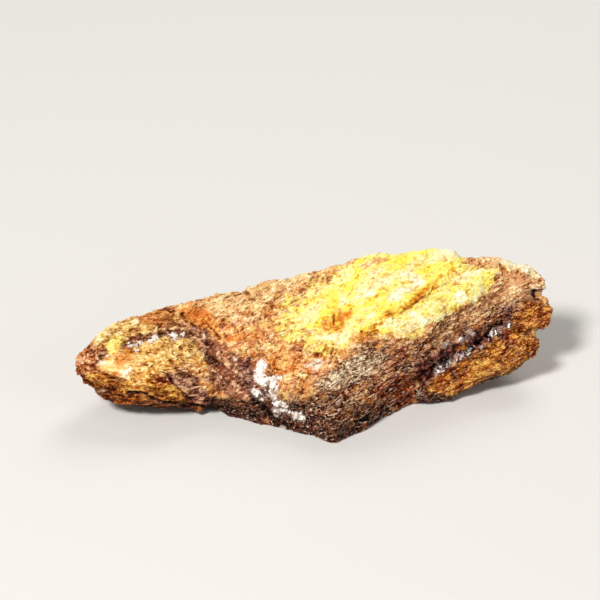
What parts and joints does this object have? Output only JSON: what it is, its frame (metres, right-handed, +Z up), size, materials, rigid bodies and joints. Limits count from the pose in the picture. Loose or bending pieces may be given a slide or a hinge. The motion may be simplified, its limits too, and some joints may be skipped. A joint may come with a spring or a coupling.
{
  "type": "mimetite mineral specimen",
  "caption": "Long iron-stained rock with a yellow mimetite crust on its upper face and white crystal groups in its hollows and seam; rests on a flat base.",
  "frame": {"origin": "middle of the specimen's footprint box, on the flat base it rests on", "axes": "+X along the stone's length towards its bedded right end, +Y from its near side to its back, +Z up"},
  "size_m": [0.0966, 0.04, 0.0254],
  "materials": {
    "matrix_rock": "rough, granular, iron-stained",
    "mimetite": "finely crystalline, waxy",
    "white_crystals": "glassy to pearly"
  },
  "bodies": {
    "root": {"matrix_rock": "matrix_rock", "mimetite_crust": "mimetite", "mimetite_crust_front": "mimetite", "mimetite_patch_left": "mimetite", "white_crystals_centre": "white_crystals", "white_crystals_centre_left": "white_crystals", "white_crystals_lower": "white_crystals", "white_crystals_foot": "white_crystals", "white_crystals_left": "white_crystals", "white_crystals_left_upper": "white_crystals", "white_crystals_seam": "white_crystals", "white_crystals_seam_right": "white_crystals"}
  },
  "joints": []
}
